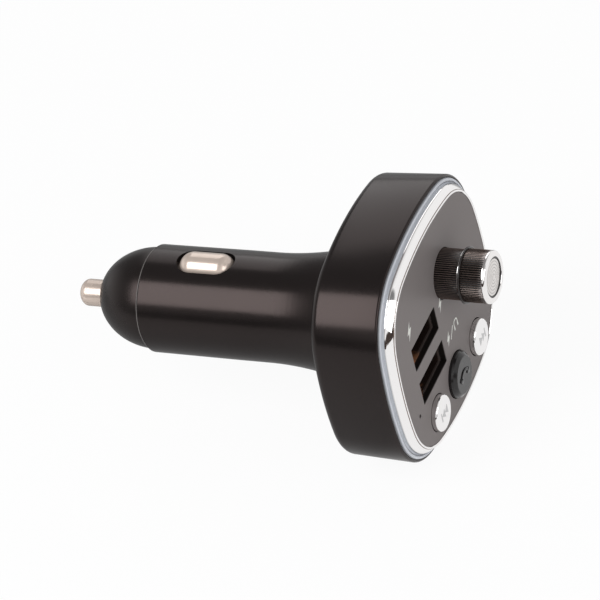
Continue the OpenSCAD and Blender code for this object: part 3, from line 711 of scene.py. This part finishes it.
class TRANSMITTER_OT_finishes(TransmitterOperator):
    """Make the finishes and put them on every CAD node"""

    bl_idname = "transmitter.finishes"
    bl_label = "Finishes"

    def execute(self, context):
        make_finishes(context.scene.transmitter_colours)
        slots = {part["node"]: part["material_slot"] for part in frame["record"]["subparts"]}
        for name, node in NODES.items():
            for holder in node.material_slots:
                holder.material = FINISHES[slots[name]]
        return {"FINISHED"}


class TRANSMITTER_OT_head_shell(TransmitterOperator):
    """Model the moulded head shell with its rounded lip and back"""

    bl_idname = "transmitter.head_shell"
    bl_label = "Head shell"

    def execute(self, context):
        back, back_out, round_r, inside = 16.0, 2.75, 1.7, 14.2
        turn = [(back_out - round_r * (1 - math.cos(a)), back - round_r * (1 - math.sin(a)))
                for a in (math.radians(k * 10) for k in range(10))]
        profile = [(1.8, inside), (1.8, 3.4), (2.7, 3.4), (2.7, 2.3), (2.76, 2.2), (2.9, 2.15),
                   (3.08, 2.24), (3.2, 2.4), (3.25, 2.65)] + turn
        obj = sweep("head_shell_skin", profile, self.plan, closed=False)
        cap_loop(obj, FACE_Y + inside * MM)
        cap_loop(obj, FACE_Y + back * MM)
        deselect()
        bpy.ops.mesh.primitive_cylinder_add(
            vertices=128, radius=BARREL_HOLE_RADIUS, depth=4 * MM,
            location=(0, FACE_Y + 15.5 * MM, 0), rotation=(math.pi / 2, 0, 0))
        carve(obj, bpy.context.object)
        finish(obj, "shell_black")
        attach(obj, "housing")
        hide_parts("head_shell")
        return {"FINISHED"}


class TRANSMITTER_OT_nose(TransmitterOperator):
    """Turn the nose cap, with its full shoulder, its skirt and the bore of the centre contact"""

    bl_idname = "transmitter.nose"
    bl_label = "Nose cap"

    def execute(self, context):
        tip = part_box("nose_cap")[1].y
        skirt, wall, skirt_end = 9.05 * MM, 7.6 * MM, SEAM - 3.8 * MM
        bore, room, lip = 2.73 * MM, 4.3 * MM, tip - 1.6 * MM
        dome_reach, steps = 11.81 * MM, 24
        dome = []
        for k in range(steps + 1):
            s = (tip - SEAM) * k / steps
            dome.append((NOSE_RIM * math.sqrt(1 - (s / dome_reach) ** 2), SEAM + s))
        nose = lathe("nose_cap_dome", [(skirt, skirt_end), (skirt, SEAM)] + dome + [
            (bore, tip), (bore, lip), (room, lip), (room, SEAM), (wall, SEAM - 0.6 * MM),
            (wall, skirt_end), (skirt, skirt_end)], steps=128)
        finish(nose, "nose_black")
        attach(nose, "housing")
        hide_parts("nose_cap")
        return {"FINISHED"}


class TRANSMITTER_OT_parting_line(TransmitterOperator):
    """Lay a fine pale ring where the nose cap meets the barrel: a painted highlight of the seam's
    edge
    """

    bl_idname = "transmitter.parting_line"
    bl_label = "Parting line"

    def execute(self, context):
        section = [(-0.1, -0.10), (0.28, -0.12), (0.32, -0.02), (0.26, 0.10), (-0.1, 0.14),
                   (-0.1, -0.10)]
        points = [(NOSE_RIM + a * MM, SEAM + b * MM) for a, b in section]
        line = lathe("parting_line_ring", points, steps=128)
        finish(line, "moulding_line")
        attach(line, "housing")
        return {"FINISHED"}


class TRANSMITTER_OT_light_ring(TransmitterOperator):
    """Model the light ring with its groove"""

    bl_idname = "transmitter.light_ring"
    bl_label = "Light ring"

    def execute(self, context):
        profile = [(1.55, 1.42), (1.62, 1.75), (1.84, 2.08), (1.98, 2.06), (2.02, 1.84),
                   (2.12, 1.78), (2.34, 1.86), (2.54, 2.0), (2.65, 2.18), (2.65, 3.4), (1.55, 3.4)]
        obj = sweep("light_ring_guide", profile, self.plan)
        bevel_edges(obj, 0.06 * MM)
        finish(obj, "light_guide")
        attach(obj, "housing")
        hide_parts("light_ring")
        return {"FINISHED"}


class TRANSMITTER_OT_chrome_bezel(TransmitterOperator):
    """Model the plated bezel round the panel, with a dark ring laid in its groove as painted shade
    """

    bl_idname = "transmitter.chrome_bezel"
    bl_label = "Chrome bezel"

    def execute(self, context):
        profile = [(0.05, 0.1), (0.05, -0.06), (0.13, -0.18), (0.26, -0.22), (0.4, -0.17),
                   (0.47, -0.1), (0.52, 0.0), (0.6, 0.05), (1.38, 1.06), (1.47, 1.2), (1.5, 1.35),
                   (1.5, 2.2), (-0.9, 2.2), (-0.9, 1.2), (0.05, 1.2)]
        obj = sweep("chrome_bezel_trim", profile, self.plan)
        finish(obj, "chrome_trim")
        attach(obj, "housing")
        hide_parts("chrome_bezel")

        # Thin dark grey ring in the gap between the lip and the bezel: painted shade of the gap.
        groove = [(0.44, -0.13), (0.50, -0.07), (0.56, 0.02), (0.50, 0.12), (0.44, 0.12)]
        line = sweep("bezel_groove_painted_shade", groove, self.plan)
        finish(line, "groove_grey")
        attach(line, "housing")
        return {"FINISHED"}


class TRANSMITTER_OT_sockets(TransmitterOperator):
    """Model the two socket shells with their bent spring tabs"""

    bl_idname = "transmitter.sockets"
    bl_label = "Sockets"

    def execute(self, context):
        for level in ("upper", "lower"):
            port = middle("usb_shell_" + level)
            self.shell(level, port.x, port.z)
        return {"FINISHED"}

    def shell(self, level, x, z):
        """Folded steel tube with rounded folds, a thin front rim and four spring tabs"""
        w, h, back = 6.15 * MM, 2.43 * MM, FACE_Y + 11.2 * MM
        corners = [(x - w, z - h), (x + w, z - h), (x + w, z + h), (x - w, z + h)]
        tube = trace("usb_shell_" + level + "_tube",
                     [(a, SOCKET_FRONT, b) for a, b in rounded(corners, 0.25 * MM, 4)])
        close_chain(tube)
        extrude((0, back - SOCKET_FRONT, 0))
        weld(tube)
        modify(tube, "Sheet", "SOLIDIFY", thickness=0.3 * MM, offset=1.0)
        bevel_edges(tube, 0.06 * MM)
        finish(tube, "socket_steel")
        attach(tube, "housing")
        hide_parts("usb_shell_" + level)
        for face, above in ((-1, "bottom"), (1, "top")):
            for side, hand in ((-1, "left"), (1, "right")):
                name = f"usb_tab_{level}_{above}_{hand}"
                self.tab(name, x + side * 2.6 * MM, z + face * h, face)

    def tab(self, name, x, z, face):
        """Tongue of the shell, bent inwards so that it grips the plug"""
        bend = [(1.4, 0.0), (2.2, 0.05), (3.0, 0.18), (3.7, 0.30), (4.2, 0.30), (4.7, 0.2)]
        tab = trace(name, [(x - 0.7 * MM, SOCKET_FRONT + d * MM, z - face * rise * MM)
                           for d, rise in bend])
        extrude((1.4 * MM, 0, 0))
        weld(tab)
        modify(tab, "Sheet", "SOLIDIFY", thickness=0.12 * MM, offset=0)
        finish(tab, "socket_steel")
        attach(tab, "housing")


BOLT = [(0.62, 1.3), (-0.76, -0.18), (-0.16, -0.18), (-0.55, -1.3), (0.80, 0.28), (0.20, 0.28)]


class TRANSMITTER_OT_face_marks(TransmitterOperator):
    """Print the plain white symbols on the panel"""

    bl_idname = "transmitter.face_marks"
    bl_label = "Face marks"

    def execute(self, context):
        marks = {
            "mark_bolt_display": self.bolt(-14.5, 9.8, 1.35),
            "mark_bolt_upper": self.bolt(-0.3, 4.5, 1.2),
            "mark_bolt_lower": self.bolt(-0.25, -4.1, 1.1),
            "mark_slash": stroke([(0.8, -5.1), (2.6, -3.1)], 0.28),
            "mark_headset_band": stroke(self.arch(4.05, -4.0, 0.85, 1.1), 0.27),
            "mark_headset_left": self.pad(3.25, -4.45),
            "mark_headset_right": self.pad(4.85, -4.45),
        }
        for name, points in marks.items():
            points = [(x * MM, z * MM) for x, z in points]
            obj = slab_from(name, points, FACE_Y - 0.015 * MM, FACE_Y + 0.05 * MM)
            finish(obj, "white_plastic")
            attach(obj, "housing")
        self.screen()
        return {"FINISHED"}

    def screen(self):
        """Pale mesh in the microphone's hole"""
        spot = middle("microphone")
        section = [(0, 0.22), (0.22, 0.24), (0.39, 0.34), (0.39, 0.6), (0, 0.6)]
        points = [(r * MM, FACE_Y + d * MM) for r, d in section]
        disc = lathe("microphone_screen", points, spot.x, spot.z, 32)
        finish(disc, "coil_grey")
        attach(disc, "housing")

    def bolt(self, x, z, size):
        """Lightning bolt"""
        return [(x + a * size, z + b * size) for a, b in BOLT]

    def arch(self, x, z, rx, rz):
        """Half round with full shoulders that opens downwards"""
        fullness = 0.7
        turns = [math.radians(k * 15) for k in range(13)]
        return [(x + rx * math.copysign(abs(math.cos(a)) ** fullness, math.cos(a)),
                 z + rz * abs(math.sin(a)) ** fullness) for a in turns]

    def pad(self, x, z):
        """Ear pad of the headset symbol"""
        return rounded([(x - 0.22, z - 0.42), (x + 0.22, z - 0.42), (x + 0.22, z + 0.48),
                        (x - 0.22, z + 0.48)], 0.1, 3)


class TRANSMITTER_OT_button_marks(TransmitterOperator):
    """Put the skip symbols on the chrome buttons and the raised handset on the middle one"""

    bl_idname = "transmitter.button_marks"
    bl_label = "Button marks"

    def execute(self, context):
        row = middle("button_left").z / MM
        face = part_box("button_left")[0].y
        shapes = {
            "bar": [(1.25, -0.95), (1.6, -0.95), (1.6, 0.95), (1.25, 0.95)],
            "near": [(-1.5, -0.95), (-0.15, 0.0), (-1.5, 0.95)],
            "far": [(-0.15, -0.95), (1.2, 0.0), (-0.15, 0.95)],
        }
        for side, hand in ((-1, "left"), (1, "right")):
            body = hand + "_button"
            x0 = middle("button_" + hand).x / MM
            for part, points in shapes.items():
                points = [((x0 + side * a) * MM, (row + b) * MM) for a, b in points]
                obj = slab_from(f"skip_{body}_{part}", points, face - 0.012 * MM, face + 0.06 * MM)
                finish(obj, "encoder_steel")
                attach(obj, body)

        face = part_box("button_centre")[0].y
        arc = [(2.1 * math.cos(a), 2.1 * math.sin(a) - 1.2)
               for a in (math.radians(k) for k in range(35, 146, 10))]
        ends = [self.block(1.72, -0.2, -35), self.block(-1.72, -0.2, 35)]
        for name, points in (("grip", stroke(arc, 0.62)), ("ear", ends[0]), ("mouth", ends[1])):
            points = [(a * MM, (row + b) * MM) for a, b in points]
            obj = slab_from("handset_" + name, points, face - 0.18 * MM, face + 0.08 * MM)
            bevel_edges(obj, 0.05 * MM)
            finish(obj, "button_black")
            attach(obj, "centre_button")
        return {"FINISHED"}

    def block(self, x, z, turn):
        """Rounded end of the handset"""
        c, s = math.cos(math.radians(turn)), math.sin(math.radians(turn))
        shape = rounded([(-0.5, -0.62), (0.5, -0.62), (0.5, 0.62), (-0.5, 0.62)], 0.2, 3)
        return [(x + a * c - b * s, z + a * s + b * c) for a, b in shape]


class TRANSMITTER_OT_knob(TransmitterOperator):
    """Model the ribbed sleeve and cap of the knob, a chrome ring that paints its collar's
    highlight, a black ring that paints the shade of its end groove, and its turned end
    """

    bl_idname = "transmitter.knob"
    bl_label = "Knob"

    def execute(self, context):
        trim = context.scene.transmitter_knob
        axis = middle("knob_cap")
        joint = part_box("knob_sleeve")[0].y
        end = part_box("knob_cap")[0].y
        ring_back = end + trim.ring_depth

        tube = self.ribs("knob_sleeve_ribs", axis, half_width("knob_sleeve"), FACE_Y + 0.8 * MM,
                         joint)
        finish(tube, "sleeve_ribs")
        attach(tube, "knob")
        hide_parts("knob_sleeve")

        rim = half_width("knob_cap")
        tube = self.ribs("knob_cap_ribs", axis, rim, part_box("knob_collar")[0].y, ring_back)
        finish(tube, "knob_ribs")
        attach(tube, "knob")
        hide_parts("knob_cap")

        # Chrome ring on the collar's edge: a painted highlight of that edge.
        edge = half_width("knob_collar")
        section = [(0.50, 0), (0.50, 0.14), (0.14, 0.14), (0.10, 0.10), (0.10, 0), (0.50, 0)]
        points = [(edge - a * MM, joint + b * MM) for a, b in section]
        line = lathe("knob_collar_painted_highlight", points, axis.x, axis.z)
        finish(line, "chrome_trim")
        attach(line, "knob")

        bevel, inner = trim.ring_bevel, rim - trim.ring_width
        disc = lathe("knob_end", [
            (0, ring_back + 0.05 * MM), (rim - 0.1 * MM, ring_back + 0.05 * MM), (rim, ring_back),
            (rim + 0.02 * MM, ring_back - 0.1 * MM), (rim + 0.02 * MM, end + bevel),
            (rim - 0.12 * bevel, end + 0.55 * bevel), (rim - 0.5 * bevel, end + 0.15 * bevel),
            (rim - bevel, end), (inner + 0.22 * MM, end), (inner + 0.08 * MM, end + 0.05 * MM),
            (inner, end + 0.16 * MM), (inner - 0.06 * MM, end + 0.42 * MM),
            (inner - 0.26 * MM, end + 0.42 * MM), (inner - 0.34 * MM, end + 0.24 * MM)]
            + self.turned_rings(inner - 0.34 * MM, end) + [(0, end + 0.10 * MM)],
            axis.x, axis.z, 128)
        finish(disc, "turned_end")
        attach(disc, "knob")

        # Black ring in the bottom of the groove between end ring and recess: painted groove shade.
        section = [(-0.24, 0.44), (0.02, 0.44), (0.02, 0.10), (-0.12, 0.17), (-0.24, 0.28),
                   (-0.24, 0.44)]
        points = [(inner + a * MM, end + b * MM) for a, b in section]
        groove_shade_ring = lathe("knob_end_groove_shade", points, axis.x, axis.z, 128)
        finish(groove_shade_ring, "knob_black")
        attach(groove_shade_ring, "knob")
        return {"FINISHED"}

    def turned_rings(self, outer, end):
        """Shallow turned grooves of the recessed end face, on a slight crown"""
        points = []
        for radius in (2.9, 2.25, 1.6, 0.95):
            crown = end + (0.10 + 0.12 * (radius * MM / outer) ** 2) * MM
            points += [(radius * MM + 0.10 * MM, crown), (radius * MM, crown + 0.05 * MM),
                       (radius * MM - 0.10 * MM, crown)]
        return points

    def ribs(self, name, axis, radius, back, front):
        """Tube with fine rounded ribs: one rib, copied round the axis"""
        trim = bpy.context.scene.transmitter_knob
        pitch, fullness = 2 * math.pi / trim.rib_count, 0.7
        points = []
        for k in range(trim.rib_steps + 1):
            share = k / trim.rib_steps
            dip = (0.5 - 0.5 * math.cos(2 * math.pi * share)) ** fullness
            a, r = pitch * k / trim.rib_steps, radius - trim.rib_depth * dip
            points.append((axis.x + r * math.cos(a), back, axis.z - r * math.sin(a)))
        rib = trace(name, points)
        extrude((0, front - back, 0))
        bpy.ops.mesh.select_all(action="SELECT")
        spin(trim.rib_count, 2 * math.pi, axis.x, axis.z, copies=True)
        weld(rib)
        cap_loop(rib, back)
        cap_loop(rib, front)
        return rib


CAMERA_PLACE = (-0.544546, -0.323645, 0.491088)
CAMERA_TURN = Quaternion((0.713671, 0.40699, -0.167507, -0.544954))
LAMP_TARGET = Vector((0, 0.003, 0))
LAMPS = (
    ("soft_box", Vector((-0.471, 0.300, 0.572)), (0.46, 0.62), 4.5),
    ("side_box", Vector((0.62, 0.22, 0.45)), (0.38, 0.6), 1.0),
    ("fill_light", Vector((-0.35, -0.755, 0.45)), (0.6, 0.6), 2.8),
)
WHITE = (1, 1, 1)
BAND_DARK = (0.06, 0.045, 0.04)
DARK_SPOT = Vector((-0.07, -0.74, 0.67)).normalized()


class TRANSMITTER_OT_stage(TransmitterOperator):
    """Set the floor, the lights, the world and the camera"""

    bl_idname = "transmitter.stage"
    bl_label = "Stage"

    def execute(self, context):
        deselect()
        bpy.ops.mesh.primitive_circle_add(
            vertices=96, radius=0.6, fill_type="NGON", location=(0, 0, BOX[0].z))
        floor = settle(bpy.context.object)
        floor.name = "floor"
        floor.data.materials.append(floor_material())

        deselect()
        for name, place, size, power in LAMPS:
            area_light(name, place, size, power)

        world = bpy.data.worlds.new("studio")
        context.scene.world = world
        world.use_nodes = True
        tree = world.node_tree
        ambient = tree.nodes["Background"]
        ambient.inputs["Color"].default_value = (0.95, 0.97, 1.0, 1)
        ambient.inputs["Strength"].default_value = 0.35
        shown = add(tree, "ShaderNodeBackground", in_0=sky_colour(tree), in_1=1.0)
        mix = add(tree, "ShaderNodeMixShader", in_0=backdrop_rays(tree), in_1=ambient.outputs[0],
                  in_2=shown.outputs[0])
        tree.links.new(mix.outputs[0], tree.nodes["World Output"].inputs["Surface"])

        bpy.ops.object.camera_add(location=CAMERA_PLACE)
        camera = bpy.context.object
        camera.name = "photo_camera"
        camera.rotation_mode = "QUATERNION"
        camera.rotation_quaternion = CAMERA_TURN
        camera.data.sensor_width = 36
        camera.data.lens = 252.62
        context.scene.camera = camera
        context.scene.view_settings.view_transform = "Standard"
        return {"FINISHED"}


def sky_colour(tree):
    """White in front, darker above and behind the plug, with a dark band along the horizon
    and a dark spot in front; all white to the camera."""
    way = add(tree, "ShaderNodeTexCoord").outputs["Generated"]
    part = axes(tree, way)
    lean = maths(tree, "MULTIPLY_ADD", part["Y"], 0.9, part["Z"])
    above = ramp(tree, lean, [(0.08, WHITE), (0.8, (0.26, 0.25, 0.25))])
    height = maths(tree, "ADD", part["Z"], scaled(tree, part["X"], 0.1, 0.4))
    band = ramp(tree, height, [(0.02, BAND_DARK), (0.16, BAND_DARK), (0.21, WHITE)])
    both = add(tree, "ShaderNodeMix", data_type="RGBA", blend_type="MULTIPLY", in_0=1.0)
    for colour, start, end, slot in ((above, 0.8, 0.97, "A"), (band, 0.5, 0.85, "B")):
        paler = blend(tree, scaled(tree, part["Y"], start, end), colour, WHITE)
        tree.links.new(paler, both.inputs[slot])
    near = vectors(tree, "DOT_PRODUCT", in_0=way, in_1=DARK_SPOT).outputs["Value"]
    shade = scaled(tree, near, 0.966, 0.988, 1.0, 0.22)
    camera_ray = add(tree, "ShaderNodeLightPath").outputs["Is Camera Ray"]
    return blend(tree, camera_ray, tinted(tree, both.outputs["Result"], shade), WHITE)


def backdrop_rays(tree):
    """One where a camera, glossy or transmitted ray looks, else zero."""
    path = add(tree, "ShaderNodeLightPath").outputs
    first = maths(tree, "MAXIMUM", path["Is Camera Ray"], path["Is Glossy Ray"])
    return maths(tree, "MAXIMUM", first, path["Is Transmission Ray"])


def floor_material():
    """White floor that keeps a soft shadow; under the plug, reflections see it dimmer, a painted
    shadow of the plug that only reflections see.
    """
    mat, shader, tree = blank_material("studio floor")
    shader.inputs["Base Color"].default_value = (0.85, 0.85, 0.85, 1)
    shader.inputs["Roughness"].default_value = 0.9
    place = axes(tree, mesh_place(tree))
    # Painted shadow: for reflections, the floor's glow dims behind the face and beside the plug.
    along = scaled(tree, place["Y"], -0.010, -0.035)
    across = scaled(tree, place["X"], -0.004, -0.055, 0.38, 0.78)
    lit = add(tree, "ShaderNodeLightPath").outputs["Is Camera Ray"]
    for level in (along, across):
        lit = maths(tree, "MAXIMUM", lit, level)
    glow = add(tree, "ShaderNodeEmission", in_0=(1, 1, 1, 1), in_1=lit)
    share = maths(tree, "MULTIPLY", backdrop_rays(tree), 0.93)
    mix = add(tree, "ShaderNodeMixShader", in_0=share, in_1=shader.outputs[0], in_2=glow.outputs[0])
    tree.links.new(mix.outputs[0], tree.nodes["Material Output"].inputs["Surface"])
    return mat


def area_light(name, place, size, power):
    """Soft rectangular lamp that looks at the plug."""
    bpy.ops.object.light_add(type="AREA", location=place)
    lamp = bpy.context.object
    lamp.name = name
    away = (place - LAMP_TARGET).normalized()
    side = Vector((0, 1, 0)).cross(away).cross(away).normalized()
    lamp.rotation_mode = "QUATERNION"
    lamp.rotation_quaternion = Matrix((side, away.cross(side), away)).transposed().to_quaternion()
    lamp.data.shape = "RECTANGLE"
    lamp.data.size, lamp.data.size_y = size
    lamp.data.energy = power


class TRANSMITTER_PT_panel(bpy.types.Panel):
    """Lists the steps in the sidebar"""

    bl_label = "Transmitter"
    bl_idname = "TRANSMITTER_PT_panel"
    bl_space_type = "VIEW_3D"
    bl_region_type = "UI"
    bl_category = "Transmitter"

    def draw(self, context):
        for step in STEPS:
            self.layout.operator(step.bl_idname)
        for group in (context.scene.transmitter_face, context.scene.transmitter_knob,
                      context.scene.transmitter_colours):
            for key in group.bl_rna.properties.keys():
                if key not in ("rna_type", "name"):
                    self.layout.prop(group, key)


STEPS = (
    TRANSMITTER_OT_finishes,
    TRANSMITTER_OT_head_shell,
    TRANSMITTER_OT_nose,
    TRANSMITTER_OT_parting_line,
    TRANSMITTER_OT_light_ring,
    TRANSMITTER_OT_chrome_bezel,
    TRANSMITTER_OT_sockets,
    TRANSMITTER_OT_face_marks,
    TRANSMITTER_OT_button_marks,
    TRANSMITTER_OT_knob,
    TRANSMITTER_OT_stage,
)
CLASSES = (FaceSizes, KnobSizes, FinishColours, *STEPS, TRANSMITTER_PT_panel)


def register():
    for cls in CLASSES:
        bpy.utils.register_class(cls)
    bpy.types.Scene.transmitter_face = bpy.props.PointerProperty(type=FaceSizes)
    bpy.types.Scene.transmitter_knob = bpy.props.PointerProperty(type=KnobSizes)
    bpy.types.Scene.transmitter_colours = bpy.props.PointerProperty(type=FinishColours)


def unregister():
    del bpy.types.Scene.transmitter_colours
    del bpy.types.Scene.transmitter_knob
    del bpy.types.Scene.transmitter_face
    for cls in reversed(CLASSES):
        bpy.utils.unregister_class(cls)


def main():
    register()
    for step in STEPS:
        group, name = step.bl_idname.split(".")
        getattr(getattr(bpy.ops, group), name)()
    deselect()
    bpy.context.view_layer.update()


if __name__ == "__main__":
    main()
